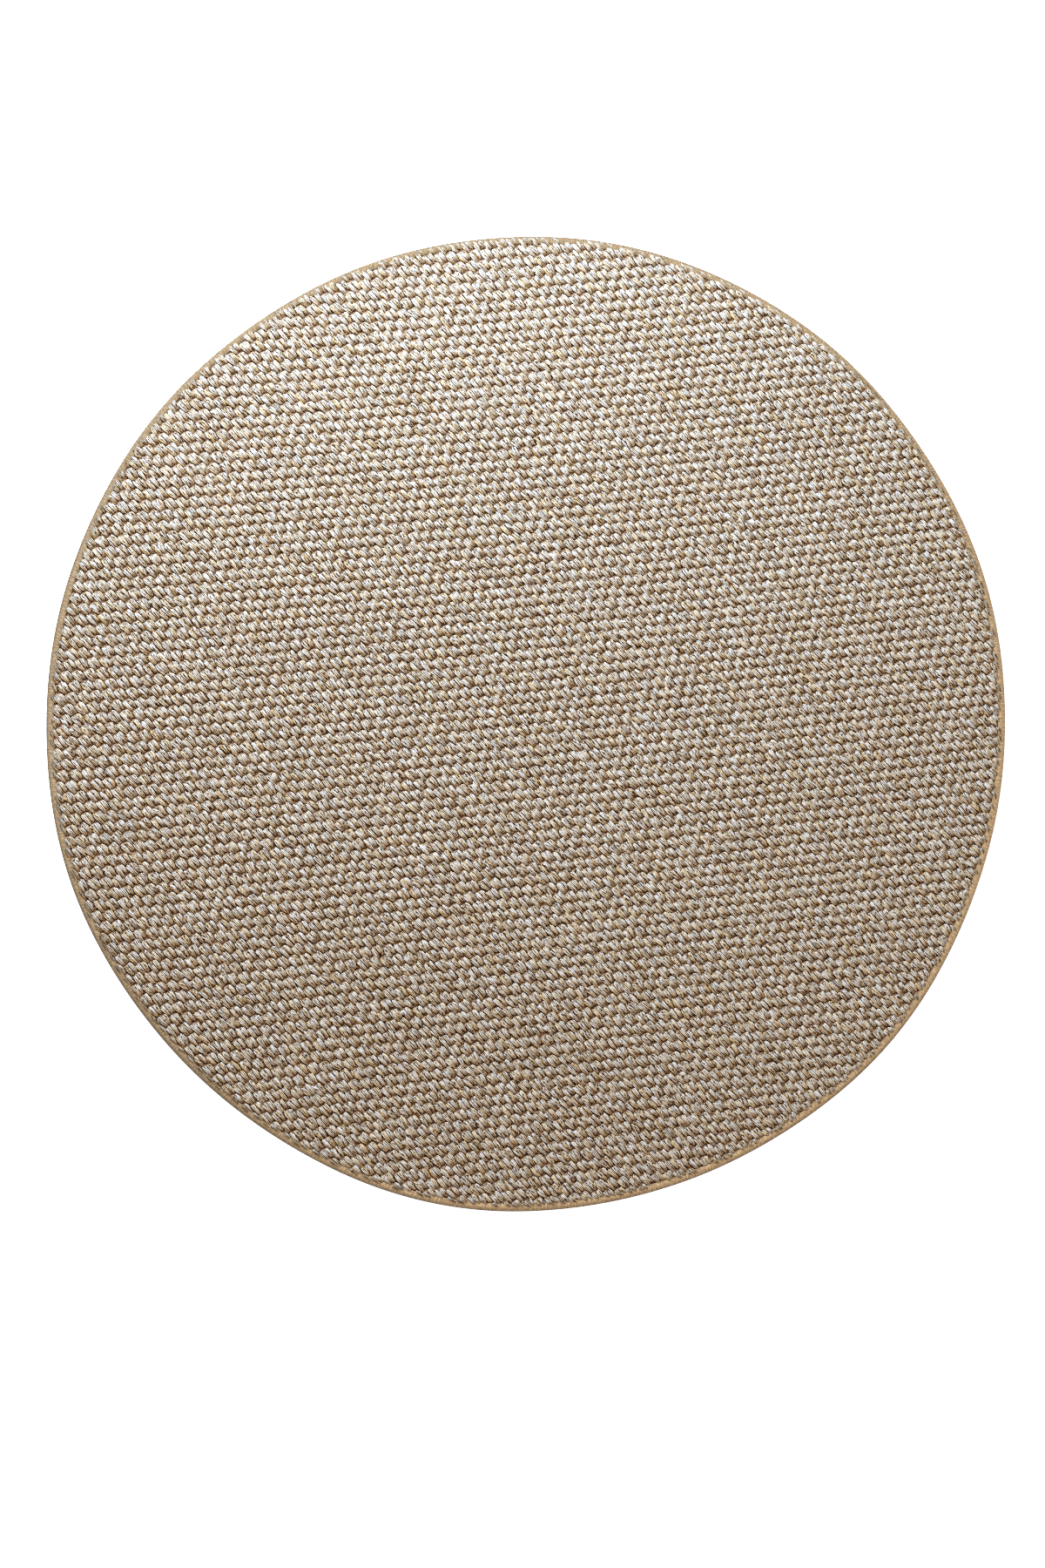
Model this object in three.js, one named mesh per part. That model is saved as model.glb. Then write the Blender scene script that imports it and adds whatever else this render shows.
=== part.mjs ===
// A round looped sisal rug with an overlocked edge, lying on a floor.
// Millimetres, +Z up. The origin lies on the floor, under the middle of the rug's outline.
// Azimuths run from +X towards +Y, in degrees.
import * as THREE from 'three';

// Outline: a mean radius and the slow waves that a hand-trimmed edge has.
const MEAN_RADIUS = 502.5;
const OUTLINE_WAVES = [
  { count: 2, rise: 6.2, crest: 268 },
  { count: 3, rise: 0.5, crest: 183 },
  { count: 4, rise: 0.5, crest: 172 },
  { count: 5, rise: 0.5, crest: 189 },
  { count: 6, rise: 0.9, crest: 199 },
  { count: 7, rise: 0.5, crest: 159 },
  { count: 12, rise: 0.4, crest: 169 },
];

// Stretches where the edge stands a little off the floor, and how far in each one starts.
const EDGE_LIFTS = [
  { azimuth: 196, halfWidth: 26, rise: 7.0 },
  { azimuth: 258, halfWidth: 11, rise: 4.5 },
  { azimuth: 285, halfWidth: 10, rise: 2.0 },
  { azimuth: 8, halfWidth: 11, rise: 2.0 },
];
const LIFT_REACH = 100;

// Rows of loops: raised ribs that climb to the right, fan out to the left and bow slightly.
const ROW_SPACING = 11.2;
const ROW_SLOPE = 0.107;
const ROW_FAN = 0.019;
const ROW_BOW = 3.0;
const ROW_SPREAD = 0.018;
const CREST_HEIGHT = 10.6;
const VALLEY_HEIGHT = 7.8;

// Places along a row, as shares of the way from its end to its middle.
const ROW_STATIONS = [0.06, 0.13, 0.22, 0.5, 1];

// Overlocked edge: yarn wound over the cloth's rim, in one rounded C-shaped section.
const BINDING_REACH = 7.6;
const BINDING_HEIGHT = 8.3;
const BINDING_WALL = 2.5;
const BINDING_LIP_TOP = 6.1;
const BINDING_LIP_BOTTOM = 1.5;
const BINDING_STEPS = 144;

// The cloth's rim is pressed thin where the yarn grips it.
const CLEARANCE = 0.5;
const RIM_INSET = BINDING_WALL + CLEARANCE;
const RIM_TOP = BINDING_LIP_TOP - CLEARANCE;
const RIM_BOTTOM = BINDING_LIP_BOTTOM + CLEARANCE;
const GRIP_INSET = BINDING_REACH + CLEARANCE;
const SHOULDER_INSET = 11.5;

// Underside rings between the rim and the flat middle.
const LIFT_RINGS = [40, 70];

const CLOTH_COLOUR = 0xb3a38c;
const BINDING_COLOUR = 0xb1966c;

const DEG = Math.PI / 180;
const FULL_TURN = 2 * Math.PI;

// The rug's radius at an azimuth in radians.
function outlineRadius(azimuth) {
  let radius = MEAN_RADIUS;
  for (const wave of OUTLINE_WAVES) {
    radius += wave.rise * Math.cos(wave.count * (azimuth - wave.crest * DEG));
  }
  return radius;
}

// How far a point lies in from the outline.
function insetOf(x, y) {
  return outlineRadius(Math.atan2(y, x)) - Math.hypot(x, y);
}

// How far the rug stands off the floor, the same for its top, its underside and its edge.
function liftAt(x, y) {
  const share = 1 - insetOf(x, y) / LIFT_REACH;
  if (share <= 0) {
    return 0;
  }
  let lift = 0;
  for (const stretch of EDGE_LIFTS) {
    const turn = Math.atan2(y, x) / DEG - stretch.azimuth;
    const away = Math.abs(((turn % 360) + 540) % 360 - 180) / stretch.halfWidth;
    if (away < 1) {
      lift += stretch.rise * Math.cos(away * Math.PI / 2) ** 2;
    }
  }
  return lift * share ** 2;
}

// A closed skin: points that faces share.
class Skin {
  constructor() {
    this.points = [];
    this.faces = [];
  }

  point(x, y, z) {
    this.points.push(x, y, z);
    return this.points.length / 3 - 1;
  }

  triangle(a, b, c) {
    if (a !== b && b !== c && c !== a) {
      this.faces.push(a, b, c);
    }
  }

  quad(a, b, c, d) {
    this.triangle(a, b, c);
    this.triangle(a, c, d);
  }

  // A point at an azimuth, an inset from the outline and a height over the lifted underside.
  ringPoint(azimuth, inset, height) {
    const radius = outlineRadius(azimuth) - inset;
    const x = radius * Math.cos(azimuth);
    const y = radius * Math.sin(azimuth);
    return this.point(x, y, height + liftAt(x, y));
  }

  // A ring of evenly turned points, each with its azimuth.
  ring(inset, height) {
    const ring = [];
    for (let step = 0; step < BINDING_STEPS; step++) {
      const azimuth = step / BINDING_STEPS * FULL_TURN;
      ring.push({ index: this.ringPoint(azimuth, inset, height), azimuth });
    }
    return ring;
  }

  // Fills the space between two rings that both run anticlockwise from azimuth 0.
  joinRings(outer, inner) {
    const azimuthAt = (ring, i) => ring[i % ring.length].azimuth + (i < ring.length ? 0 : FULL_TURN);
    const indexAt = (ring, i) => ring[i % ring.length].index;
    let i = 0;
    let j = 0;
    while (i < outer.length || j < inner.length) {
      const outerFirst = azimuthAt(outer, i + 1) <= azimuthAt(inner, j + 1);
      if (j === inner.length || (i < outer.length && outerFirst)) {
        this.triangle(indexAt(outer, i), indexAt(outer, i + 1), indexAt(inner, j));
        i++;
      } else {
        this.triangle(indexAt(outer, i), indexAt(inner, j + 1), indexAt(inner, j));
        j++;
      }
    }
  }

  geometry() {
    const geometry = new THREE.BufferGeometry();
    geometry.setAttribute('position', new THREE.Float32BufferAttribute(this.points, 3));
    geometry.setIndex(this.faces);
    geometry.computeVertexNormals();
    return geometry;
  }
}

// The run of one row: its height up the rug at each x, from its height at x = 0.
function rowY(start, x) {
  const across = x / MEAN_RADIUS;
  const bow = (ROW_BOW + ROW_SPREAD * start) * across ** 2;
  return start + ROW_SLOPE * x - ROW_FAN * start * across + bow;
}

// The x, from one end of a span to the other, at which a row comes to a given inset.
function rowMeets(start, inset, inside, outside) {
  let near = inside;
  let far = outside;
  for (let i = 0; i < 40; i++) {
    const middle = (near + far) / 2;
    if (insetOf(middle, rowY(start, middle)) > inset) {
      near = middle;
    } else {
      far = middle;
    }
  }
  return near;
}

// One side of a row, from the grip under the yarn to the row's middle.
function halfRow(start, middle, side) {
  const reach = middle + side * 1.2 * MEAN_RADIUS;
  const end = rowMeets(start, GRIP_INSET, middle, reach);
  const shoulderFits = insetOf(middle, rowY(start, middle)) > SHOULDER_INSET;
  const shoulder = shoulderFits ? rowMeets(start, SHOULDER_INSET, middle, reach) : (end + middle) / 2;
  const places = [end, shoulder];
  for (const share of ROW_STATIONS) {
    places.push(shoulder + share * (middle - shoulder));
  }
  return places;
}

// The top of the cloth at a point, over the lifted underside, where the pile has this height.
function pileHeight(x, y, full) {
  const share = (insetOf(x, y) - GRIP_INSET) / (SHOULDER_INSET - GRIP_INSET);
  return RIM_TOP + (full - RIM_TOP) * Math.min(Math.max(share, 0), 1);
}

// Points of the crests and valleys of all rows, from the lowest row up, each from left to right.
function rowLines(skin) {
  const lines = [];
  const last = Math.ceil(MEAN_RADIUS * 2.2 / ROW_SPACING);
  for (let i = -last; i <= last; i++) {
    const start = i * ROW_SPACING / 2;
    const middle = -ROW_SLOPE * start / (1 + ROW_SLOPE ** 2);
    if (insetOf(middle, rowY(start, middle)) < GRIP_INSET + 1) {
      continue;
    }
    const full = i % 2 === 0 ? CREST_HEIGHT : VALLEY_HEIGHT;
    const left = halfRow(start, middle, -1);
    const right = halfRow(start, middle, 1).reverse().slice(1);
    const line = [...left, ...right].map((x) => {
      const y = rowY(start, x);
      return skin.point(x, y, pileHeight(x, y, full) + liftAt(x, y));
    });
    lines.push(line);
  }
  return lines;
}

// Points along the grip between the two ends of the outermost row, in the row's own order.
function poleArc(skin, line, turnWay) {
  const azimuthOf = (index) => Math.atan2(skin.points[3 * index + 1], skin.points[3 * index]);
  const from = azimuthOf(line[0]);
  let turn = azimuthOf(line[line.length - 1]) - from;
  turn += turn * turnWay < 0 ? turnWay * FULL_TURN : 0;
  return line.map((index, i) => {
    const atEnd = i === 0 || i === line.length - 1;
    const share = i / (line.length - 1);
    return atEnd ? index : skin.ringPoint(from + share * turn, GRIP_INSET, RIM_TOP);
  });
}

// The points of the cloth's top that lie along the grip, anticlockwise from azimuth 0.
function gripRing(skin, lines, lowArc, highArc) {
  const leftEnds = lines.map((line) => line[0]);
  const rightEnds = lines.map((line) => line[line.length - 1]);
  const arcs = [...lowArc.slice(1, -1), ...highArc.slice(1, -1)];
  const ring = [...leftEnds, ...rightEnds, ...arcs].map((index) => {
    const azimuth = Math.atan2(skin.points[3 * index + 1], skin.points[3 * index]);
    return { index, azimuth: (azimuth + FULL_TURN) % FULL_TURN };
  });
  return ring.sort((a, b) => a.azimuth - b.azimuth);
}

// The cloth: ribbed on top, thin where the edge yarn grips it, flat underneath.
function clothGeometry() {
  const skin = new Skin();
  const lines = rowLines(skin);
  const lowArc = poleArc(skin, lines[0], 1);
  const highArc = poleArc(skin, lines[lines.length - 1], -1);
  const strips = [lowArc, ...lines, highArc];
  for (let i = 0; i + 1 < strips.length; i++) {
    for (let j = 0; j + 1 < lowArc.length; j++) {
      skin.quad(strips[i][j], strips[i][j + 1], strips[i + 1][j + 1], strips[i + 1][j]);
    }
  }
  const rings = [
    gripRing(skin, lines, lowArc, highArc),
    skin.ring(RIM_INSET, RIM_TOP),
    skin.ring(RIM_INSET, RIM_BOTTOM),
    skin.ring(GRIP_INSET, RIM_BOTTOM),
    skin.ring(SHOULDER_INSET, 0),
    ...LIFT_RINGS.map((inset) => skin.ring(inset, 0)),
    skin.ring(LIFT_REACH, 0),
    [{ index: skin.point(0, 0, 0), azimuth: 0 }],
  ];
  for (let i = 0; i + 1 < rings.length; i++) {
    skin.joinRings(rings[i + 1], rings[i]);
  }
  return skin.geometry();
}

// The overlocked edge's section, as insets and heights, from its foot round its outside and back.
function bindingSection() {
  const top = BINDING_HEIGHT;
  return [
    [2.2, 0],
    [0.6, 1.0],
    [0, 3.0],
    [0, 5.4],
    [0.7, top - 1.1],
    [2.4, top],
    [BINDING_REACH - 2, top],
    [BINDING_REACH - 0.2, top - 1],
    [BINDING_REACH, BINDING_LIP_TOP],
    [BINDING_WALL, BINDING_LIP_TOP],
    [BINDING_WALL, BINDING_LIP_BOTTOM],
    [BINDING_REACH, BINDING_LIP_BOTTOM],
    [BINDING_REACH - 0.4, 0],
  ];
}

// The overlocked edge, once round the rug.
function bindingGeometry() {
  const skin = new Skin();
  const rings = bindingSection().map(([inset, height]) => skin.ring(inset, height));
  for (let i = 0; i < rings.length; i++) {
    skin.joinRings(rings[i], rings[(i + 1) % rings.length]);
  }
  return skin.geometry();
}

function makeMesh(name, geometry, colour, roughness) {
  const material = new THREE.MeshStandardMaterial({ color: colour, roughness, metalness: 0 });
  const mesh = new THREE.Mesh(geometry, material);
  mesh.name = name;
  return mesh;
}

const rug = new THREE.Group();
rug.name = 'rug';
rug.add(makeMesh('rug_cloth', clothGeometry(), CLOTH_COLOUR, 0.95));
rug.add(makeMesh('edge_binding', bindingGeometry(), BINDING_COLOUR, 0.9));

// The middle of the outline goes over the origin.
const middle = new THREE.Box3().setFromObject(rug).getCenter(new THREE.Vector3());
rug.position.set(-middle.x, -middle.y, 0);

export default rug;
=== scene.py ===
"""A round rug of looped sisal yarn with an overlocked edge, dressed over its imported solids.

Lengths are in millimetres until a mesh is made, when they become metres. Azimuths run from +X towards +Y.
"""

import math

import bpy
import numpy as np
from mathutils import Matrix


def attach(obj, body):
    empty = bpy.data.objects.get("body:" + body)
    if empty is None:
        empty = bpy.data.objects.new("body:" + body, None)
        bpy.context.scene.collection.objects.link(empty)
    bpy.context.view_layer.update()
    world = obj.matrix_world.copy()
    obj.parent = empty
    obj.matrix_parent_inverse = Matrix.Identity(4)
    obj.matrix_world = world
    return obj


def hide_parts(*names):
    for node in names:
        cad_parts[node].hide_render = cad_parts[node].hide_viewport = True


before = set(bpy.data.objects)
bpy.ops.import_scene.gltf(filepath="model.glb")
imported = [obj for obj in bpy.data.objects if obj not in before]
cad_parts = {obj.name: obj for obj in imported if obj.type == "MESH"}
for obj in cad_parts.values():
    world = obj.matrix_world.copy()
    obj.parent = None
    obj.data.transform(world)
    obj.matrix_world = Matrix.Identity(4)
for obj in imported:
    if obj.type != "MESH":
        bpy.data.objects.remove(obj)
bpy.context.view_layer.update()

MM = 0.001
TURN = 2 * math.pi

# Outline: a mean radius and the slow waves that a hand-trimmed edge has: count, rise, crest in degrees.
MEAN_RADIUS = 502.5
OUTLINE_WAVES = (
    (2, 6.2, 268),
    (3, 0.5, 183),
    (4, 0.5, 172),
    (5, 0.5, 189),
    (6, 0.9, 199),
    (7, 0.5, 159),
    (12, 0.4, 169),
)

# The imported outline has this many points, and the middle of the outline's box is found over this many.
OUTLINE_STEPS = 144

# Stretches of the edge that stand off the floor: azimuth, half width in degrees, rise.
EDGE_LIFTS = ((196, 26, 7.0), (258, 11, 4.5), (285, 10, 2.0), (8, 11, 2.0))
# How far in from the edge they reach.
LIFT_REACH = 100

# Rows of loops climb to the right, fan out to the left, bow up and spread a little at both ends.
ROW_SPACING = 11.2
ROW_SLOPE = 0.107
ROW_FAN = 0.019
ROW_BOW = 3.0
ROW_SPREAD = 0.018

# Loops along a row, the drift from one row to the next, and how far the two ends of a row are drawn left.
LOOP_PITCH = 11.9
ROW_STAGGER = 2.85
LOOP_SQUEEZE = 13.0
# More rows, and loops in each, than the rug has either side of its middle. Those past the edge are left out.
ROWS_EACH_WAY = 50
LOOPS_EACH_WAY = 55

# One loop is two plies of yarn that slant down to the right, and each ply three strands.
LOOP_HEADING = math.radians(-45)

# The plies of a loop: turn in degrees, place across the loop and along it, length, how far the strands
# spread, strand width.
LOOP_PLIES = (
    (-4, 3.0, 0.2, 1.0, 1.5, 0.83),
    (0, -2.1, -0.3, 1.12, 1.45, 0.83),
)

# The strands of a ply: side, how far below the crown, length.
PLY_STRANDS = ((-1, 1.7, 0.92), (0, 0.0, 1.03), (1, 1.7, 0.92))

# Each loop has strands of these shades, from dark to pale, in no fixed order, and each strays a little.
STRAND_SHADES = (-1.3, -0.8, -0.2, 0.3, 0.8, 1.2)
SHADE_SCATTER = 0.25

# How unevenly the yarn lies, as standard deviations, for a loop, a ply, a strand and each of its points.
LOOP_PLACE_SCATTER = (0.20, 0.15)
LOOP_TURN_SCATTER = math.radians(2)
PLY_TURN_SCATTER = math.radians(2)
PLY_PLACE_SCATTER = 0.12
PLY_SLIP_SCATTER = 0.25
STRAND_TURN_SCATTER = math.radians(3)
STRAND_ASIDE_SCATTER = 0.15
POINT_SCATTER = 0.06
# Sizes and rises: their mean, standard deviation, least and most.
PLY_LENGTHS = (1.0, 0.06, 0.85, 1.15)
PLY_RISES = (0, 0.25, -0.6, 0.4)
STRAND_LENGTHS = (1.02, 0.08, 0.84, 1.2)
STRAND_WIDTHS = (1.0, 0.12, 0.7, 1.3)
STRAND_RISES = (0, 0.3, -0.6, 0.5)
SEED = 11

# One strand, from head to tail: place along it, half width, height of its ridge. Its two ends are at the
# root's height.
STRAND_RINGS = (
    (-5.4, 1.0, 9.7),
    (-2.8, 1.13, 11.3),
    (1.6, 1.08, 10.7),
    (5.6, 0.82, 8.3),
)
STRAND_HEAD = -6.2
STRAND_TAIL = 7.2
STRAND_ROOT = 4.4
STRAND_SIDES = 6
# It bows aside by sin(pi * share ** BOW_EARLY) ** BOW_FULL, where share is how far along it a point is.
BOW_EARLY = 0.6
BOW_FULL = 0.35
# Faces this far round from the top are kept: the roof's, and an outer strand's wall out of its ply.
STRAND_ROOF = math.radians(60)
STRAND_WALL = math.radians(95)
# Rings already drawn out stand this far aside, clear of those still to be picked.
STRAND_ASIDE = 100
# Points this near a place are at it. More than this above the root's height is the roof, and more than this
# below it a wall's foot.
PICK_REACH = 0.01
ROOT_REACH = 0.5
# Across the fibre pattern a shoulder is this far from the ridge, and a wall's foot this many times as far.
YARN_ACROSS = 0.95
STRAND_FOOT = 1.7
# Strands show stretches of the fibre pattern from anywhere in this width and length of it.
PATTERN_ROOM = (400, 900)
# In the maps for baked colour this share of a strand's cell, or of a length of the edge, is left free.
CELL_EDGE = 0.05

# Strands that stand nearer the edge than the inset are left out. Points nearer than the second measure are
# pressed back by the edge yarn, down to the third. On the far side all three are less.
LOOP_INSET = 2.4
PRESSED_FROM = 7.5
PRESSED_TO = 2.8
LOOP_INSET_FAR = 1.2
PRESSED_FROM_FAR = 4.3
PRESSED_TO_FAR = 1.1
# Within this of the edge they are darkened with painted shade, the shadow beside the edge yarn, down to this
# share of their clearness. On the far side, towards the lamp, that is so only at the very rim.
EDGE_SHADE = 9.5
EDGE_SHADE_FAR = 2.0
EDGE_SHADE_LEAST = 0.5
# At the near edge their painted shade is warmer too: they turn more golden, by this much for all their
# clearness. At the far edge, nearest the lamp, they are this much paler as painted light, and even their
# lowest points have this share of clearness, so the painted shade of the gaps is lighter there.
EDGE_GOLD = 1.6
FAR_PAINTED_LIGHT = 0.9
FAR_LOW = 0.85

# Strands on the same side of their plies are joined, in this many pieces a side.
PLY_SIDES = ((-1, "left"), (0, "middle"), (1, "right"))
PIECES_A_SIDE = 2

# Overlocked edge: its section as insets and heights.
BINDING_SECTION = (
    (0.0, 3.0),
    (0.0, 5.4),
    (0.7, 7.2),
    (2.4, 8.3),
    (4.2, 8.5),
    (5.8, 8.2),
    (7.4, 7.3),
    (7.6, 6.1),
    (2.5, 6.1),
    (2.5, 1.5),
    (7.6, 1.5),
    (7.2, 0.0),
    (2.2, 0.0),
    (0.6, 1.0),
)
# The section's first points, from the outside over the top, show the yarn's turns, which stand out from
# this inset and height.
BINDING_SHOWN = 7
BINDING_MIDDLE = (4.5, 4.2)
# The turns' width, how far a ridge stands out and a hollow in, and how far they lean round the rug, over this
# width and height of the section.
WRAP_PITCH = 1.5
WRAP_DEPTH = 0.12
WRAP_SLANT = 1.2
BINDING_REACH = 7.6
BINDING_TOP = 8.3
# In the map for baked colour the edge lies in this many lengths.
BINDING_LENGTHS = 10

# The yarn's shade changes this often for each turn, and once in this far along the yarn.
TURN_CHANGES = 0.9
SHADE_LENGTH = 6.25
# Painted light and shade: the edge's brightness this far from the middle, away from its paler side and
# towards it.
PAINTED_LIGHT_SIDE = math.radians(296)
PAINTED_LIGHT_REACH = 500
PAINTED_LIGHT_SHADES = (0.84, 1.28)
# Painted shade on the rim's outer wall: its brightness low on the wall, this far from the middle, away from
# the shaded side and towards it. Up to the first of these lengths round the section the wall has its full
# painted shade, and from the second it has none.
WALL_SHADE_SIDE = math.radians(240)
WALL_SHADE_REACH = (-160, 120)
WALL_SHADES = (0.92, 0.38)
WALL_SHADE_SPAN = (3.0, 8.0)
# Painted shade where the lifted rim turns from the light: its brightness at the darkest place, and how far
# from there it is as bright as elsewhere.
RIM_SHADE_PLACE = math.radians(225)
RIM_SHADE = 0.7
RIM_SHADE_REACH = 340

# Sisal fibres are about 0.2 mm wide, and are drawn coarser so that they show. They lie a little askew.
FIBRE_WIDTH = 0.75
FIBRE_LENGTH = 5
FIBRE_SKEW = math.radians(-8)
# How high fibres, ground threads and the edge yarn's plies stand as bumps, and the ground threads' width.
FIBRE_HEIGHT = 0.5
THREAD_HEIGHT = 0.8
EDGE_YARN_HEIGHT = 0.3
THREAD_WIDTH = 1.4
# One step of a strand's shade moves its place on the colour ramp by this much.
SHADE_STEP = 0.038

# Ground weave under the loops, as insets and heights, from the middle of the top round the rim to the
# middle of the underside.
GROUND_RINGS = (
    (380, 5.0),
    (250, 5.0),
    (140, 5.0),
    (100, 5.0),
    (70, 5.0),
    (45, 5.0),
    (25, 5.0),
    (11.5, 5.2),
    (8.1, 5.6),
    (3.0, 5.6),
    (3.0, 2.0),
    (8.1, 2.0),
    (11.5, 0.0),
    (25, 0.0),
    (45, 0.0),
    (70, 0.0),
    (100, 0.0),
    (140, 0.0),
    (380, 0.0),
)
GROUND_STEPS = 240
# A stitch's middle, as a share of the way from one count to the next: of loops less rows, and of rows.
STITCH_PLACE = (0.134, 0.407)
# A wave texture at this scale has one band to each count.
ONE_BAND = math.pi / 10

# Camera: a long lens high over the rug, on its near side. The rug's middle is at this pixel.
IMAGE_WIDTH = 1200
IMAGE_HEIGHT = 1800
MM_PER_PIXEL = 0.9011
CAMERA_ELEVATION = 82.3
CAMERA_LENS = 200
SENSOR = 36
RUG_CENTRE_PIXEL = (603.8, 827.6)

# Light: a cool lamp and a warm room around it. Lamp, camera reach and floor are in metres and watts.
LAMP_WIDTH = 1.2
LAMP_POWER = 47.5
LAMP_COLOUR = "#e1f3ff"
LAMP_PLACE = (-0.55, 1.1, 1.2)
ROOM_COLOUR = "#ffefdb"
ROOM_STRENGTH = 1.25
CAMERA_REACH = 100
FLOOR_WIDTH = 12

# The floor lies this many millimetres below the rug.
FLOOR_DROP = 0.2


def linear(colour):
    """An sRGB hex colour as linear RGBA."""
    parts = [int(colour[i : i + 2], 16) / 255 for i in (1, 3, 5)]
    return tuple(c / 12.92 if c <= 0.04045 else ((c + 0.055) / 1.055) ** 2.4 for c in parts) + (1.0,)


def towards(azimuth, reach=1):
    """The point that lies this far out at an azimuth, for a node."""
    return (reach * math.cos(azimuth), reach * math.sin(azimuth), 0)


def outline_radius(azimuth):
    """How far the rug's edge is from the middle of its waves."""
    radius = np.full(np.shape(azimuth), MEAN_RADIUS)
    for count, rise, crest in OUTLINE_WAVES:
        radius = radius + rise * np.cos(count * (azimuth - math.radians(crest)))
    return radius


def outline_middle():
    """The middle of the outline's box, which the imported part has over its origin."""
    azimuth = np.arange(OUTLINE_STEPS) / OUTLINE_STEPS * TURN
    across = outline_radius(azimuth) * np.cos(azimuth)
    along = outline_radius(azimuth) * np.sin(azimuth)
    return np.array([(across.min() + across.max()) / 2, (along.min() + along.max()) / 2])


def inset_of(x, y):
    """How far in from the edge a place is."""
    return outline_radius(np.arctan2(y, x)) - np.hypot(x, y)


def lift_at(x, y):
    """How far the rug stands off the floor."""
    share = np.clip(1 - inset_of(x, y) / LIFT_REACH, 0, None)
    lift = np.zeros(np.shape(x))
    for azimuth, half_width, rise in EDGE_LIFTS:
        away = np.abs((np.degrees(np.arctan2(y, x)) - azimuth + 540) % 360 - 180) / half_width
        lift = lift + rise * np.cos(np.minimum(away, 1) * math.pi / 2) ** 2
    return lift * share**2


def row_y(start, x):
    """Where a row is at x, when it crosses the middle at start."""
    across = x / MEAN_RADIUS
    return start + ROW_SLOPE * x - ROW_FAN * start * across + (ROW_BOW + ROW_SPREAD * start) * across**2


def finish_piece(piece, material):
    """Every piece gets its one material and its body."""
    piece.data.materials.clear()
    piece.data.materials.append(material)
    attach(piece, "root")
    return piece


def add(tree, kind, inputs=None, stops=None, **settings):
    """Adds a node, sets it up and gives its inputs values or links. Stops are a colour ramp's."""
    made = tree.nodes.new(kind)
    for name, value in settings.items():
        setattr(made, name, value)
    for name, value in (inputs or {}).items():
        if isinstance(value, bpy.types.NodeSocket):
            tree.links.new(value, made.inputs[name])
        else:
            made.inputs[name].default_value = value
    for i, (place, colour) in enumerate(stops or ()):
        ramp = made.color_ramp.elements
        stop = ramp[i] if i < len(ramp) else ramp.new(place)
        stop.position = place
        stop.color = linear(colour)
    return made


def new_material(name):
    material = bpy.data.materials.new(name)
    material.use_nodes = True
    material.node_tree.nodes.clear()
    return material, material.node_tree


def sisal_loop_yarn():
    """Spun undyed sisal: stiff, slightly glossy fibres from near white to gold, with dark ones between."""
    material, tree = new_material("sisal_loop_yarn")
    place = add(tree, "ShaderNodeUVMap", uv_map="yarn").outputs["UV"]
    strand = add(tree, "ShaderNodeAttribute", attribute_name="strand")
    parts = add(tree, "ShaderNodeSeparateColor", {"Color": strand.outputs["Color"]})
    shade, gold, unshaded = (parts.outputs[name] for name in ("Red", "Green", "Blue"))
    tail = strand.outputs["Alpha"]

    # Fibres lie a little askew in their strand.
    fibre_place = add(
        tree,
        "ShaderNodeMapping",
        {"Vector": place, "Rotation": (0, 0, FIBRE_SKEW), "Scale": (1 / FIBRE_WIDTH, 1 / FIBRE_LENGTH, 1)},
    )
    fibres = add(
        tree,
        "ShaderNodeTexNoise",
        {"Vector": fibre_place.outputs["Vector"], "Scale": 1.0, "Detail": 1.0, "Roughness": 0.6},
        noise_dimensions="2D",
    )
    shaded = add(
        tree,
        "ShaderNodeMath",
        {0: shade, 1: SHADE_STEP, 2: fibres.outputs["Fac"]},
        operation="MULTIPLY_ADD",
    )
    white = add(
        tree,
        "ShaderNodeValToRGB",
        {"Fac": shaded.outputs["Value"]},
        stops=(
            (0.30, "#28160a"),
            (0.38, "#7c5c3d"),
            (0.43, "#c0b19b"),
            (0.50, "#c9c9c8"),
            (0.64, "#cbcfd8"),
        ),
    )
    golden = add(
        tree,
        "ShaderNodeValToRGB",
        {"Fac": shaded.outputs["Value"]},
        stops=(
            (0.30, "#28160a"),
            (0.38, "#7d5a2e"),
            (0.43, "#b89b68"),
            (0.50, "#c8b794"),
            (0.64, "#cec6b3"),
        ),
    )
    gold_share = add(
        tree,
        "ShaderNodeMapRange",
        {"Value": gold, "From Min": 0.4, "From Max": 1.2},
    )
    colour = add(
        tree,
        "ShaderNodeMix",
        {"Factor": gold_share.outputs["Result"], "A": white.outputs["Color"], "B": golden.outputs["Color"]},
        data_type="RGBA",
    )

    # Painted shade: strands are browner low down between each other, and tan at the tail, where it dips
    # under.
    low = add(
        tree,
        "ShaderNodeMapRange",
        {"Value": unshaded, "From Min": 0.35, "From Max": 1.0, "To Min": 1.0, "To Max": 0.0},
    )
    gap_shaded = add(
        tree,
        "ShaderNodeMix",
        {"Factor": low.outputs["Result"], "A": colour.outputs["Result"], "B": linear("#5e4123")},
        data_type="RGBA",
        blend_type="MULTIPLY",
    )
    tail_shade = add(tree, "ShaderNodeMapRange", {"Value": tail, "From Min": 0.4, "From Max": 0.95})
    tan = add(
        tree,
        "ShaderNodeMix",
        {"Factor": tail_shade.outputs["Result"], "A": gap_shaded.outputs["Result"], "B": linear("#d2b48b")},
        data_type="RGBA",
        blend_type="MULTIPLY",
    )
    bump = add(
        tree,
        "ShaderNodeBump",
        {"Height": fibres.outputs["Fac"], "Strength": 0.7, "Distance": FIBRE_HEIGHT * MM},
    )
    shader = add(
        tree,
        "ShaderNodeBsdfPrincipled",
        {
            "Base Color": tan.outputs["Result"],
            "Roughness": 0.6,
            "Specular IOR Level": 0.2,
            "Normal": bump.outputs["Normal"],
        },
    )
    add(tree, "ShaderNodeOutputMaterial", {"Surface": shader.outputs["BSDF"]})
    return material


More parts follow.
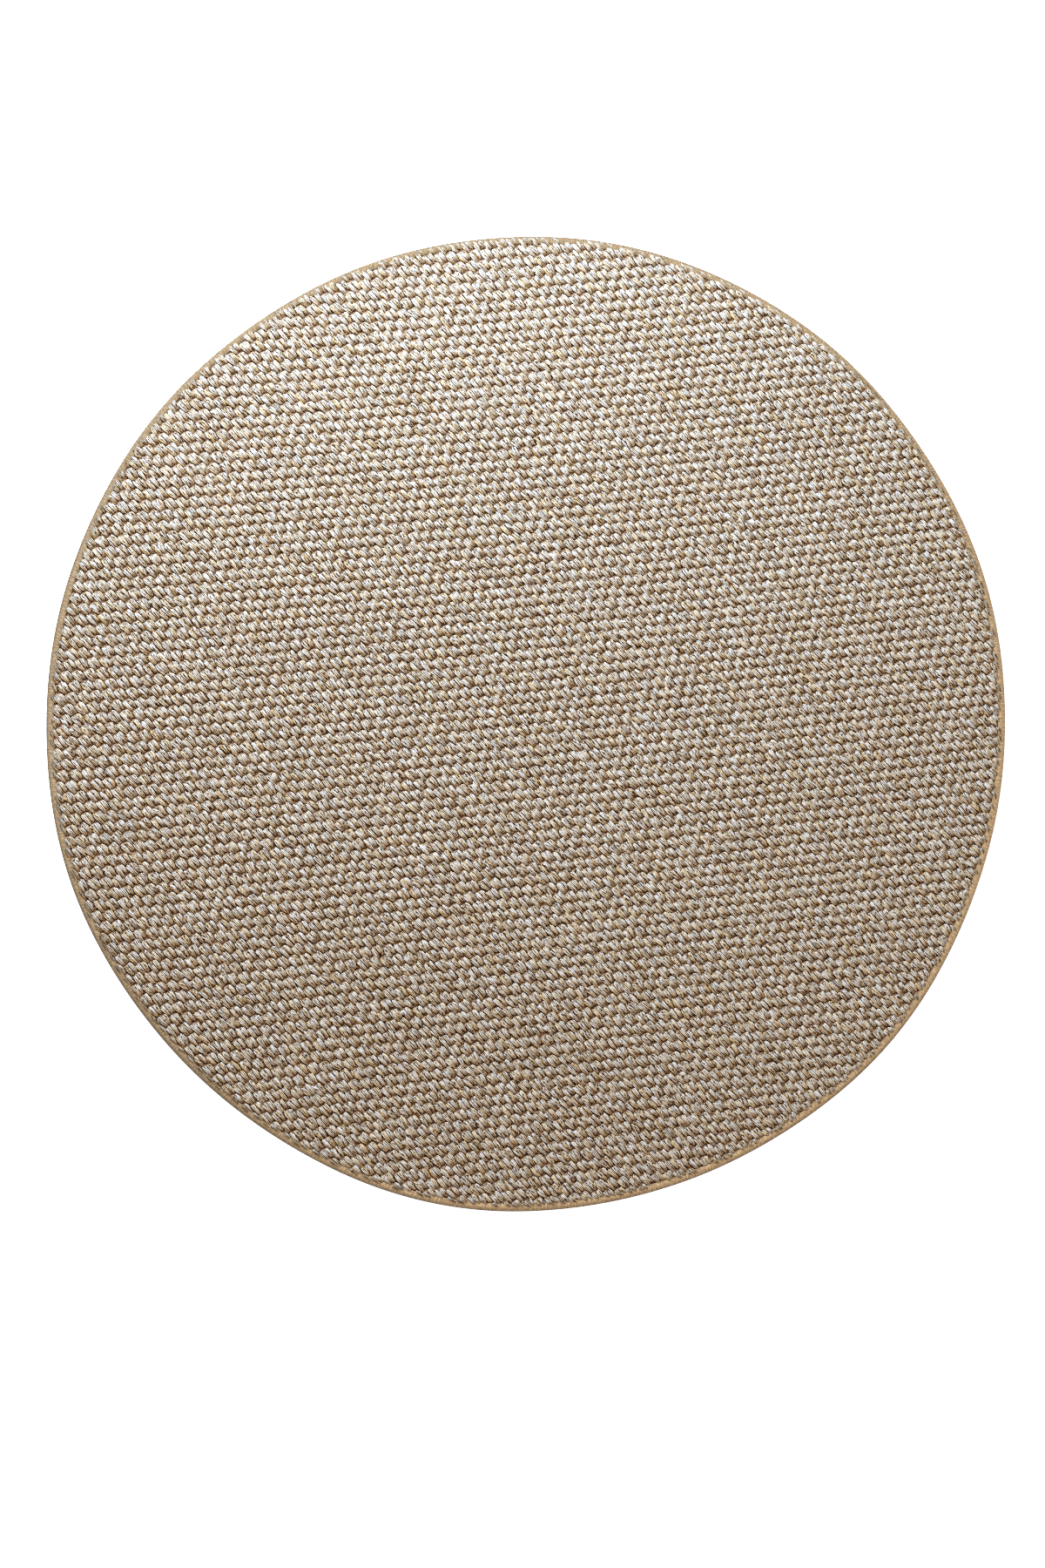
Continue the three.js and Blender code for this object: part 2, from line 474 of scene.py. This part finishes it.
def jute_ground_weave():
    """Woven jute ground: dull brown threads, and between the rows one paler stitch for each loop."""
    material, tree = new_material("jute_ground_weave")
    place = add(tree, "ShaderNodeTexCoord").outputs["Object"]
    lattice = add(tree, "ShaderNodeUVMap", uv_map="loops_and_rows").outputs["UV"]

    # The stitches lean right, one to each count of the map, and show only in front of a loop's heads.
    leaning, between = (
        add(
            tree,
            "ShaderNodeTexWave",
            {"Vector": lattice, "Scale": ONE_BAND, "Phase Offset": math.pi - TURN * share},
            bands_direction=direction,
        )
        for direction, share in zip("XY", STITCH_PLACE)
    )
    crossed = add(
        tree,
        "ShaderNodeMath",
        {0: leaning.outputs["Fac"], 1: between.outputs["Fac"]},
        operation="MULTIPLY",
    )
    shown = add(
        tree,
        "ShaderNodeMapRange",
        {"Value": crossed.outputs["Value"], "From Min": 0.6, "From Max": 0.85},
    )
    threads = add(
        tree,
        "ShaderNodeTexNoise",
        {"Vector": place, "Scale": 1 / (THREAD_WIDTH * MM), "Detail": 2.0},
    )
    colour = add(
        tree,
        "ShaderNodeValToRGB",
        {"Fac": threads.outputs["Fac"]},
        stops=((0.38, "#180b04"), (0.5, "#4c3019"), (0.61, "#8c6b4c")),
    )
    stitched = add(
        tree,
        "ShaderNodeMix",
        {"Factor": shown.outputs["Result"], "A": colour.outputs["Color"], "B": linear("#a89384")},
        data_type="RGBA",
    )
    bump = add(
        tree,
        "ShaderNodeBump",
        {"Height": threads.outputs["Fac"], "Strength": 0.8, "Distance": THREAD_HEIGHT * MM},
    )
    shader = add(
        tree,
        "ShaderNodeBsdfPrincipled",
        {
            "Base Color": stitched.outputs["Result"],
            "Roughness": 0.9,
            "Specular IOR Level": 0.2,
            "Normal": bump.outputs["Normal"],
        },
    )
    add(tree, "ShaderNodeOutputMaterial", {"Surface": shader.outputs["BSDF"]})
    return material


def overlock_yarn():
    """Soft spun polyester-cotton overlock yarn, wound close: matte golden tan, with no turn like the next."""
    material, tree = new_material("overlock_yarn")
    place = add(tree, "ShaderNodeUVMap", uv_map="wraps").outputs["UV"]
    stretched = add(
        tree,
        "ShaderNodeMapping",
        {"Vector": place, "Scale": (TURN_CHANGES, 1 / SHADE_LENGTH, 1)},
    )
    turns = add(
        tree,
        "ShaderNodeTexNoise",
        {"Vector": stretched.outputs["Vector"], "Scale": 1.0, "Detail": 2.0, "Roughness": 0.65},
        noise_dimensions="2D",
    )
    colour = add(
        tree,
        "ShaderNodeValToRGB",
        {"Fac": turns.outputs["Fac"]},
        stops=((0.35, "#78654d"), (0.5, "#8b7659"), (0.65, "#9e8a6e")),
    )

    # Painted light and shade: it is drawn paler towards the near right side and darker towards the far left.
    where = add(tree, "ShaderNodeTexCoord").outputs["Object"]
    nearness = add(
        tree,
        "ShaderNodeVectorMath",
        {0: where, 1: towards(PAINTED_LIGHT_SIDE)},
        operation="DOT_PRODUCT",
    )
    side_light = add(
        tree,
        "ShaderNodeMapRange",
        {
            "Value": nearness.outputs["Value"],
            "From Min": -PAINTED_LIGHT_REACH * MM,
            "From Max": PAINTED_LIGHT_REACH * MM,
            "To Min": PAINTED_LIGHT_SHADES[0],
            "To Max": PAINTED_LIGHT_SHADES[1],
        },
    )

    # Painted shade low on the rim's outer wall, most on the near side, which faces away from the lamp.
    toward_wall_shade = add(
        tree,
        "ShaderNodeVectorMath",
        {0: where, 1: towards(WALL_SHADE_SIDE)},
        operation="DOT_PRODUCT",
    )
    lowest_wall_shade = add(
        tree,
        "ShaderNodeMapRange",
        {
            "Value": toward_wall_shade.outputs["Value"],
            "From Min": WALL_SHADE_REACH[0] * MM,
            "From Max": WALL_SHADE_REACH[1] * MM,
            "To Min": WALL_SHADES[0],
            "To Max": WALL_SHADES[1],
        },
    )
    section = add(tree, "ShaderNodeSeparateXYZ", {"Vector": place})
    # The painted wall shade fades out up the section.
    wall = add(
        tree,
        "ShaderNodeMapRange",
        {
            "Value": section.outputs["Y"],
            "From Min": WALL_SHADE_SPAN[0],
            "From Max": WALL_SHADE_SPAN[1],
            "To Min": lowest_wall_shade.outputs["Result"],
            "To Max": 1.0,
        },
    )

    # Painted shade: it is darkest round the place where the lifted rim turns away from the light.
    apart = add(
        tree,
        "ShaderNodeVectorMath",
        {0: where, 1: towards(RIM_SHADE_PLACE, MEAN_RADIUS * MM)},
        operation="DISTANCE",
    )
    rim_shade_factor = add(
        tree,
        "ShaderNodeMapRange",
        {
            "Value": apart.outputs["Value"],
            "From Min": 0.0,
            "From Max": RIM_SHADE_REACH * MM,
            "To Min": RIM_SHADE,
            "To Max": 1.0,
        },
    )
    side_and_wall_light = add(
        tree,
        "ShaderNodeMath",
        {0: side_light.outputs["Result"], 1: wall.outputs["Result"]},
        operation="MULTIPLY",
    )
    brightness = add(
        tree,
        "ShaderNodeMath",
        {0: side_and_wall_light.outputs["Value"], 1: rim_shade_factor.outputs["Result"]},
        operation="MULTIPLY",
    )
    painted_light_and_shade = add(
        tree,
        "ShaderNodeVectorMath",
        {0: colour.outputs["Color"], "Scale": brightness.outputs["Value"]},
        operation="SCALE",
    )
    bump = add(
        tree,
        "ShaderNodeBump",
        {"Height": turns.outputs["Fac"], "Strength": 0.5, "Distance": EDGE_YARN_HEIGHT * MM},
    )
    shader = add(
        tree,
        "ShaderNodeBsdfPrincipled",
        {"Base Color": painted_light_and_shade.outputs["Vector"], "Roughness": 0.8, "Normal": bump.outputs["Normal"]},
    )
    add(tree, "ShaderNodeOutputMaterial", {"Surface": shader.outputs["BSDF"]})
    return material


def white_floor():
    """A matte white studio floor that glows a little, so that it stays pale in shade."""
    material, tree = new_material("white_floor")
    shader = add(
        tree,
        "ShaderNodeBsdfPrincipled",
        {
            "Base Color": linear("#f4f4f3"),
            "Roughness": 0.9,
            "Emission Color": linear("#cbe1ff"),
            "Emission Strength": 0.66,
        },
    )
    add(tree, "ShaderNodeOutputMaterial", {"Surface": shader.outputs["BSDF"]})
    return material


def select_in_edit_mode(piece, mode, chosen):
    """Opens a piece in edit mode with only those vertices or faces selected that the test picks."""
    bpy.ops.object.mode_set(mode="EDIT")
    bpy.ops.mesh.select_mode(type=mode)
    bpy.ops.mesh.select_all(action="DESELECT")
    bpy.ops.object.mode_set(mode="OBJECT")
    for part in piece.data.polygons if mode == "FACE" else piece.data.vertices:
        part.select = bool(chosen(part))
    bpy.ops.object.mode_set(mode="EDIT")


def strand_angle(point):
    """How far round the strand from its top a point is."""
    return math.atan2(point.y, point.z)


def strand_face_shows(face, side):
    angle = strand_angle(face.center)
    return abs(angle) < STRAND_ROOF or 0 < side * angle < STRAND_WALL


def make_strand(side):
    """One strand of a ply: a ball with its poles along X, drawn out ring by ring into an arch.

    It is open below, and towards the strands beside it in its ply, where nothing shows.
    """
    rings = len(STRAND_RINGS) + 1
    bpy.ops.object.select_all(action="DESELECT")
    bpy.ops.mesh.primitive_uv_sphere_add(
        segments=STRAND_SIDES, ring_count=rings, radius=1, rotation=(0, math.pi / 2, 0)
    )
    strand = bpy.context.object
    bpy.ops.object.transform_apply(location=False, rotation=True, scale=False)
    strand.rotation_euler.x = math.pi / STRAND_SIDES
    bpy.ops.object.transform_apply(location=False, rotation=True, scale=False)
    select_in_edit_mode(strand, "FACE", lambda face: not strand_face_shows(face, side))
    bpy.ops.mesh.delete(type="FACE")
    bpy.ops.object.mode_set(mode="OBJECT")
    shoulder = math.sin(TURN / STRAND_SIDES)
    for i, (along, half_width, top) in enumerate(STRAND_RINGS, 1):
        place = -math.cos(i / rings * math.pi)
        size = math.sin(i / rings * math.pi)
        grown = (1, half_width / shoulder / size, (top - STRAND_ROOT) / size)
        select_in_edit_mode(strand, "VERT", lambda v: abs(v.co.x - place) < PICK_REACH)
        bpy.ops.transform.resize(value=grown, center_override=(0, 0, 0))
        bpy.ops.transform.translate(value=(along - place + STRAND_ASIDE, 0, STRAND_ROOT))
        bpy.ops.object.mode_set(mode="OBJECT")
    for place, along in ((-1, STRAND_HEAD), (1, STRAND_TAIL)):
        select_in_edit_mode(strand, "VERT", lambda v: abs(v.co.x - place) < PICK_REACH)
        bpy.ops.transform.translate(value=(along - place + STRAND_ASIDE, 0, STRAND_ROOT))
        bpy.ops.object.mode_set(mode="OBJECT")
    return strand


def strand_template(side):
    """The strand's points, faces and places across and along it, as arrays.

    Across it, the ridge and both ends are at 0, the shoulders at 1 or -1, and a wall's foot past them.
    """
    strand = make_strand(side)
    points = np.array([v.co for v in strand.data.vertices], float)
    points[:, 0] -= STRAND_ASIDE
    stations = np.array([STRAND_HEAD, *[ring[0] for ring in STRAND_RINGS], STRAND_TAIL])
    station = np.abs(points[:, 0][:, None] - stations).argmin(axis=1)
    points[:, 0] = stations[station]
    low = points[:, 2] < STRAND_ROOT - ROOT_REACH
    across = np.sign(points[:, 1].round(3)) * np.where(low, STRAND_FOOT, 1.0)
    along = points[:, 0] - STRAND_HEAD
    faces = [tuple(face.vertices) for face in strand.data.polygons]
    bpy.data.objects.remove(strand)
    return points, faces, across, along


def loop_places():
    """Each loop's place, row by row from the near side, also past the edge."""
    rows = np.arange(-ROWS_EACH_WAY, ROWS_EACH_WAY + 1)
    steps = np.arange(-LOOPS_EACH_WAY, LOOPS_EACH_WAY + 1)
    row, step = (a.ravel() for a in np.meshgrid(rows, steps, indexing="ij"))
    x = step * LOOP_PITCH + row * ROW_STAGGER
    x = x - LOOP_SQUEEZE * (x / MEAN_RADIUS) ** 2
    return x, row_y(row * ROW_SPACING, x)


def loop_and_row(x, y):
    """Which loop and which row a place is at, in fractions: loop_places the other way round."""
    across = x / MEAN_RADIUS
    start = (y - ROW_SLOPE * x - ROW_BOW * across**2) / (1 - ROW_FAN * across + ROW_SPREAD * across**2)
    row = start / ROW_SPACING
    squeeze = LOOP_SQUEEZE / MEAN_RADIUS**2
    straight = (1 - np.sqrt(1 - 4 * squeeze * x)) / (2 * squeeze)
    return (straight - row * ROW_STAGGER) / LOOP_PITCH, row


def by_side(y, near, far):
    """One value on the near half of the rug, which turns into the other towards the far edge."""
    return near + (far - near) * np.clip(y / MEAN_RADIUS, 0, 1) ** 2


def press_back(points):
    """Loops at the edge are pressed back from under the edge yarn."""
    x, y = points[..., 0], points[..., 1]
    inset = inset_of(x, y)
    begin = by_side(y, PRESSED_FROM, PRESSED_FROM_FAR)
    end = by_side(y, PRESSED_TO, PRESSED_TO_FAR)
    give = begin - end
    pressed = end + give * np.exp((np.minimum(inset, begin) - begin) / give)
    radius = np.hypot(x, y)
    scale = np.where(inset < begin, (radius + inset - pressed) / radius, 1)
    points[..., 0] *= scale
    points[..., 1] *= scale


def uneven(rng, sizes, shape):
    """Random sizes by their mean, standard deviation, least and most."""
    mean, scatter, least, most = sizes
    return np.clip(rng.normal(mean, scatter, shape), least, most)


def lay_strands(rng):
    """Each strand's place, turn, sizes and shades, row by row, and the side of its ply that it is on."""
    x, y = loop_places()
    x = x + rng.normal(0, LOOP_PLACE_SCATTER[0], x.shape)
    y = y + rng.normal(0, LOOP_PLACE_SCATTER[1], x.shape)
    loop_turn = LOOP_HEADING + rng.normal(0, LOOP_TURN_SCATTER, x.shape)
    shades = rng.permuted(np.tile(STRAND_SHADES, (len(x), 1)), axis=1)
    golds = rng.permuted(np.tile(STRAND_SHADES, (len(x), 1)), axis=1)
    cos, sin = math.cos(LOOP_HEADING), math.sin(LOOP_HEADING)
    strands = []
    for ply_turn, ply_place, ply_slip, ply_length, spread, ply_width in LOOP_PLIES:
        ply_turn = loop_turn + math.radians(ply_turn) + rng.normal(0, PLY_TURN_SCATTER, x.shape)
        ply_place = ply_place + rng.normal(0, PLY_PLACE_SCATTER, x.shape)
        ply_slip = ply_slip + rng.normal(0, PLY_SLIP_SCATTER, x.shape)
        ply_size = ply_length * uneven(rng, PLY_LENGTHS, x.shape)
        ply_rise = uneven(rng, PLY_RISES, x.shape)
        for side, drop, length in PLY_STRANDS:
            strands.append(
                np.stack(
                    [
                        x + ply_slip * cos - ply_place * sin,
                        y + ply_slip * sin + ply_place * cos,
                        ply_turn + rng.normal(0, STRAND_TURN_SCATTER, x.shape),
                        length * ply_size * uneven(rng, STRAND_LENGTHS, x.shape),
                        ply_width * uneven(rng, STRAND_WIDTHS, x.shape),
                        ply_rise - drop + uneven(rng, STRAND_RISES, x.shape),
                        shades[:, len(strands)] + rng.normal(0, SHADE_SCATTER, x.shape),
                        golds[:, len(strands)] + rng.normal(0, SHADE_SCATTER, x.shape),
                        side * spread + rng.normal(0, STRAND_ASIDE_SCATTER, x.shape),
                        np.full(x.shape, side),
                    ],
                    axis=-1,
                )
            )
    strands = np.stack(strands, axis=1).reshape(-1, 10)
    x, y = strands[:, 0], strands[:, 1]
    return strands[inset_of(x, y) > by_side(y, LOOP_INSET, LOOP_INSET_FAR)]


def shape_strands(rng, strands):
    """Points, texture places, colours and faces of strands that are all on one side of their ply."""
    px, py, turn, long, wide, raised, tone, gold, aside, side = strands.T
    template, faces, across, along = strand_template(side[0])
    share = along / (STRAND_TAIL - STRAND_HEAD)
    bow = np.sin(np.clip(share, 0, 1) ** BOW_EARLY * math.pi).clip(0) ** BOW_FULL
    # A strand's roof is clear of the painted shade of the gaps, and its walls get it.
    unshaded = np.where(template[:, 2] > STRAND_ROOT + ROOT_REACH, 1.0, 0.0)
    local = template[None] * np.stack([long, wide, np.ones_like(long)], -1)[:, None]
    height = (local[..., 2] - STRAND_ROOT) / (STRAND_RINGS[1][2] - STRAND_ROOT)
    local[..., 1] += aside[:, None] * bow
    local[..., 2] += raised[:, None] * height
    local[..., :2] += rng.normal(0, POINT_SCATTER, local[..., :2].shape)
    points = np.empty_like(local)
    cos, sin = np.cos(turn)[:, None], np.sin(turn)[:, None]
    points[..., 0] = px[:, None] + cos * local[..., 0] - sin * local[..., 1]
    points[..., 1] = py[:, None] + sin * local[..., 0] + cos * local[..., 1]
    points[..., 2] = local[..., 2]
    press_back(points)
    points[..., 2] += lift_at(points[..., 0], points[..., 1])

    places = np.stack(
        [
            across[None] * YARN_ACROSS + rng.random((len(px), 1)) * PATTERN_ROOM[0],
            along[None] * long[:, None] + rng.random((len(px), 1)) * PATTERN_ROOM[1],
        ],
        -1,
    )
    # The colour's parts: shade, goldness, how clear a point is of the painted shade in the gaps and at the
    # edge, and how far along its strand, for the painted shade at its tail.
    x, y = points[..., 0], points[..., 1]
    near = np.clip(-y / MEAN_RADIUS, 0, 1)
    # Painted shade near the edge, the shadow beside the edge yarn, less on the far side.
    clear = np.clip(inset_of(x, y) / by_side(y, EDGE_SHADE, EDGE_SHADE_FAR), EDGE_SHADE_LEAST, 1)
    colours = np.ones(height.shape + (4,))
    # Painted light towards the far edge, and a golden tint to the painted edge shade on the near side.
    colours[..., 0] = tone[:, None] + by_side(y, 0, FAR_PAINTED_LIGHT)
    colours[..., 1] = gold[:, None] + EDGE_GOLD * (1 - clear) * near
    colours[..., 2] = np.maximum(unshaded, by_side(y, 0, FAR_LOW)) * clear
    colours[..., 3] = share

    # In a second map, for baked colour, each strand has a cell of its own.
    columns = math.ceil(math.sqrt(len(px)))
    row, column = np.divmod(np.arange(len(px)), columns)
    width = across - across.min()
    cells = np.stack(
        [
            column[:, None] + CELL_EDGE + (1 - 2 * CELL_EDGE) * width / width.max(),
            row[:, None] + CELL_EDGE + (1 - 2 * CELL_EDGE) * share,
        ],
        -1,
    )
    return points, faces, places, cells / columns, colours


def make_loops(material):
    """All the loops, in a few pieces for each side of a ply."""
    rng = np.random.default_rng(SEED)
    strands = lay_strands(rng)
    pieces = []
    for side, side_name in PLY_SIDES:
        chosen = strands[strands[:, -1] == side]
        for number, part in enumerate(np.array_split(chosen, PIECES_A_SIDE), 1):
            pieces.append(make_loop_piece(f"loop_strands_{side_name}_{number}", rng, part, material))
    return pieces


def make_loop_piece(name, rng, strands, material):
    """One mesh of many strands."""
    points, faces, places, cells, colours = shape_strands(rng, strands)
    points[..., :2] -= outline_middle()
    corners = np.concatenate([np.array(f) for f in faces])
    sizes = np.tile([len(f) for f in faces], len(points))
    order = (np.arange(len(points))[:, None] * points.shape[1] + corners[None]).ravel()
    mesh = bpy.data.meshes.new(name)
    mesh.vertices.add(points.shape[0] * points.shape[1])
    mesh.vertices.foreach_set("co", (points * MM).ravel())
    mesh.loops.add(len(order))
    mesh.loops.foreach_set("vertex_index", order)
    mesh.polygons.add(len(sizes))
    mesh.polygons.foreach_set("loop_start", np.concatenate([[0], np.cumsum(sizes)[:-1]]))
    mesh.update(calc_edges=True)
    for layer, uv in (("yarn", places), ("OFBake", cells)):
        mesh.uv_layers.new(name=layer).data.foreach_set("uv", uv.reshape(-1, 2)[order].ravel())
    tint = mesh.color_attributes.new("strand", "FLOAT_COLOR", "POINT")
    tint.data.foreach_set("color", colours.ravel())
    mesh.polygons.foreach_set("use_smooth", np.ones(len(sizes), bool))
    mesh.validate()
    piece = bpy.data.objects.new(name, mesh)
    bpy.context.scene.collection.objects.link(piece)
    return finish_piece(piece, material)


def follow_outline(piece):
    """Turns a piece made round, about the outline's own middle, into the rug's uneven round."""
    mesh = piece.data
    points = np.empty(len(mesh.vertices) * 3)
    mesh.vertices.foreach_get("co", points)
    points = points.reshape(-1, 3) / MM
    azimuth = np.arctan2(points[:, 1], points[:, 0])
    inset = MEAN_RADIUS - np.hypot(points[:, 0], points[:, 1])
    share = np.clip(1 - inset / MEAN_RADIUS, 0, 1)
    radius = share * (outline_radius(azimuth) - MEAN_RADIUS) + MEAN_RADIUS - inset
    x = radius * np.cos(azimuth)
    y = radius * np.sin(azimuth)
    middle = outline_middle()
    shaped = np.stack([x - middle[0], y - middle[1], points[:, 2] + lift_at(x, y)], -1)
    mesh.vertices.foreach_set("co", (shaped * MM).ravel())
    mesh.update()


def make_ground(material):
    """The ground weave: one disc, drawn out ring by ring from its top to its underside."""
    bpy.ops.object.select_all(action="DESELECT")
    first = MEAN_RADIUS - GROUND_RINGS[0][0]
    bpy.ops.mesh.primitive_circle_add(
        vertices=GROUND_STEPS, radius=first * MM, fill_type="TRIFAN", location=(0, 0, GROUND_RINGS[0][1] * MM)
    )
    piece = bpy.context.object
    piece.name = "ground_weave"
    bpy.ops.object.transform_apply(location=True, rotation=False, scale=False)
    bpy.ops.object.mode_set(mode="EDIT")
    bpy.ops.mesh.select_mode(type="EDGE")
    bpy.ops.mesh.select_all(action="SELECT")
    bpy.ops.mesh.region_to_loop()
    before = GROUND_RINGS[0]
    for ring in GROUND_RINGS[1:]:
        scale = (MEAN_RADIUS - ring[0]) / (MEAN_RADIUS - before[0])
        bpy.ops.mesh.extrude_edges_move(
            TRANSFORM_OT_translate={"value": (0, 0, (ring[1] - before[1]) * MM)}
        )
        bpy.ops.transform.resize(value=(scale, scale, 1), center_override=(0, 0, ring[1] * MM))
        before = ring
    bpy.ops.mesh.edge_face_add()
    bpy.ops.mesh.poke()
    bpy.ops.mesh.select_all(action="SELECT")
    bpy.ops.mesh.normals_make_consistent(inside=False)
    bpy.ops.object.mode_set(mode="OBJECT")
    follow_outline(piece)

    # Texture places: loops less rows, which is the same along each stitch, and rows.
    mesh = piece.data
    points = np.empty(len(mesh.vertices) * 3)
    mesh.vertices.foreach_get("co", points)
    corner = np.empty(len(mesh.loops), int)
    mesh.loops.foreach_get("vertex_index", corner)
    middle = outline_middle()
    loop, row = loop_and_row(points[0::3] / MM + middle[0], points[1::3] / MM + middle[1])
    counts = np.stack([loop - row, row], -1)[corner]
    mesh.uv_layers.new(name="loops_and_rows").data.foreach_set("uv", counts.ravel())
    finish_piece(piece, material)
    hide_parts("rug_cloth")
    return piece


def make_binding(material):
    """The overlocked edge: a strip rolled into a ring of its section, each turn of yarn a ridge across it."""
    wraps = round(TURN * MEAN_RADIUS / WRAP_PITCH)
    rings, sides = 2 * wraps, len(BINDING_SECTION)
    bpy.ops.object.select_all(action="DESELECT")
    bpy.ops.mesh.primitive_grid_add(x_subdivisions=rings, y_subdivisions=sides, size=2)
    piece = bpy.context.object
    piece.name = "overlocked_edge"
    mesh = piece.data
    strip = np.empty(len(mesh.vertices) * 3)
    mesh.vertices.foreach_get("co", strip)
    strip_ring = np.rint((strip[0::3] + 1) / 2 * rings).astype(int)
    strip_side = np.rint((strip[1::3] + 1) / 2 * sides).astype(int)

    # A ridge and a hollow for each turn of yarn, and a slant across the edge.
    ring, side = strip_ring % rings, strip_side % sides
    section = np.array(BINDING_SECTION)
    away = section - BINDING_MIDDLE
    away = away / np.linalg.norm(away, axis=1, keepdims=True)
    ridge = np.where(ring % 2 == 0, 1, -1) * WRAP_DEPTH * (side < BINDING_SHOWN)
    shaped = section[side] + away[side] * ridge[:, None]
    slant = WRAP_SLANT * (section[side, 0] / BINDING_REACH - section[side, 1] / BINDING_TOP) / MEAN_RADIUS
    azimuth = ring / rings * TURN + slant
    radius = MEAN_RADIUS - shaped[:, 0]
    points = np.stack([radius * np.cos(azimuth), radius * np.sin(azimuth), shaped[:, 1]], -1)
    mesh.vertices.foreach_set("co", (points * MM).ravel())

    # Texture places: turns of yarn round the rug, and millimetres round the section.
    corner = np.empty(len(mesh.loops), int)
    mesh.loops.foreach_get("vertex_index", corner)
    steps = np.linalg.norm(np.roll(section, -1, axis=0) - section, axis=1)
    across = np.concatenate([[0], np.cumsum(steps)])[strip_side]
    mesh.uv_layers[0].name = "wraps"
    mesh.uv_layers[0].data.foreach_set("uv", np.stack([strip_ring / 2, across], -1)[corner].ravel())

    # In a second map, for baked colour, the strip lies in lengths one above the other.
    corner_ring = strip_ring[corner].reshape(-1, 4)
    length = corner_ring.min(axis=1, keepdims=True) * BINDING_LENGTHS // rings
    laid = np.stack(
        [
            corner_ring * BINDING_LENGTHS / rings - length,
            (length + (1 - CELL_EDGE) * across[corner].reshape(-1, 4) / steps.sum()) / BINDING_LENGTHS,
        ],
        -1,
    )
    mesh.uv_layers.new(name="OFBake").data.foreach_set("uv", laid.ravel())

    # The strip's ends and sides meet and are joined.
    bpy.ops.object.mode_set(mode="EDIT")
    bpy.ops.mesh.select_all(action="SELECT")
    bpy.ops.mesh.remove_doubles(threshold=PICK_REACH * MM)
    bpy.ops.mesh.normals_make_consistent(inside=False)
    bpy.ops.object.mode_set(mode="OBJECT")
    follow_outline(piece)
    bpy.ops.object.shade_smooth()
    finish_piece(piece, material)
    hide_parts("edge_binding")
    return piece


def make_camera():
    """A long lens high over the near side, aimed so that the rug falls where the picture has it."""
    data = bpy.data.cameras.new("camera")
    data.lens = CAMERA_LENS
    data.sensor_width = SENSOR
    camera = bpy.data.objects.new("camera", data)
    bpy.context.scene.collection.objects.link(camera)
    distance = IMAGE_HEIGHT * MM_PER_PIXEL * CAMERA_LENS / SENSOR * MM
    tilt = math.radians(90 - CAMERA_ELEVATION)
    aim_x = (IMAGE_WIDTH / 2 - RUG_CENTRE_PIXEL[0]) * MM_PER_PIXEL * MM
    aim_y = (RUG_CENTRE_PIXEL[1] - IMAGE_HEIGHT / 2) * MM_PER_PIXEL * MM / math.cos(tilt)
    camera.location = (aim_x, aim_y - distance * math.sin(tilt), distance * math.cos(tilt))
    camera.rotation_euler = (tilt, 0, 0)
    data.clip_end = CAMERA_REACH
    bpy.context.scene.camera = camera


def make_light():
    """A broad cool lamp that faces down beyond the rug's far edge, a little to the left, and a warm room."""
    lamp = bpy.data.lights.new("window_lamp", "AREA")
    lamp.shape = "SQUARE"
    lamp.size = LAMP_WIDTH
    lamp.energy = LAMP_POWER
    lamp.color = linear(LAMP_COLOUR)[:3]
    holder = bpy.data.objects.new("window_lamp", lamp)
    bpy.context.scene.collection.objects.link(holder)
    holder.location = LAMP_PLACE
    holder.visible_camera = False
    world = bpy.data.worlds.new("warm_room")
    world.use_nodes = True
    world.node_tree.nodes["Background"].inputs["Color"].default_value = linear(ROOM_COLOUR)
    world.node_tree.nodes["Background"].inputs["Strength"].default_value = ROOM_STRENGTH
    bpy.context.scene.world = world


def make_floor():
    bpy.ops.object.select_all(action="DESELECT")
    bpy.ops.mesh.primitive_plane_add(size=FLOOR_WIDTH, location=(0, 0, -FLOOR_DROP * MM))
    floor = bpy.context.object
    floor.name = "floor"
    floor.data.materials.append(white_floor())


make_camera()
make_light()
make_floor()
loops = make_loops(sisal_loop_yarn())
ground = make_ground(jute_ground_weave())
binding = make_binding(overlock_yarn())

bpy.context.scene.view_settings.view_transform = "Standard"
bpy.context.scene.cycles.pixel_filter_type = "BOX"
bpy.context.scene.cycles.use_denoising = False
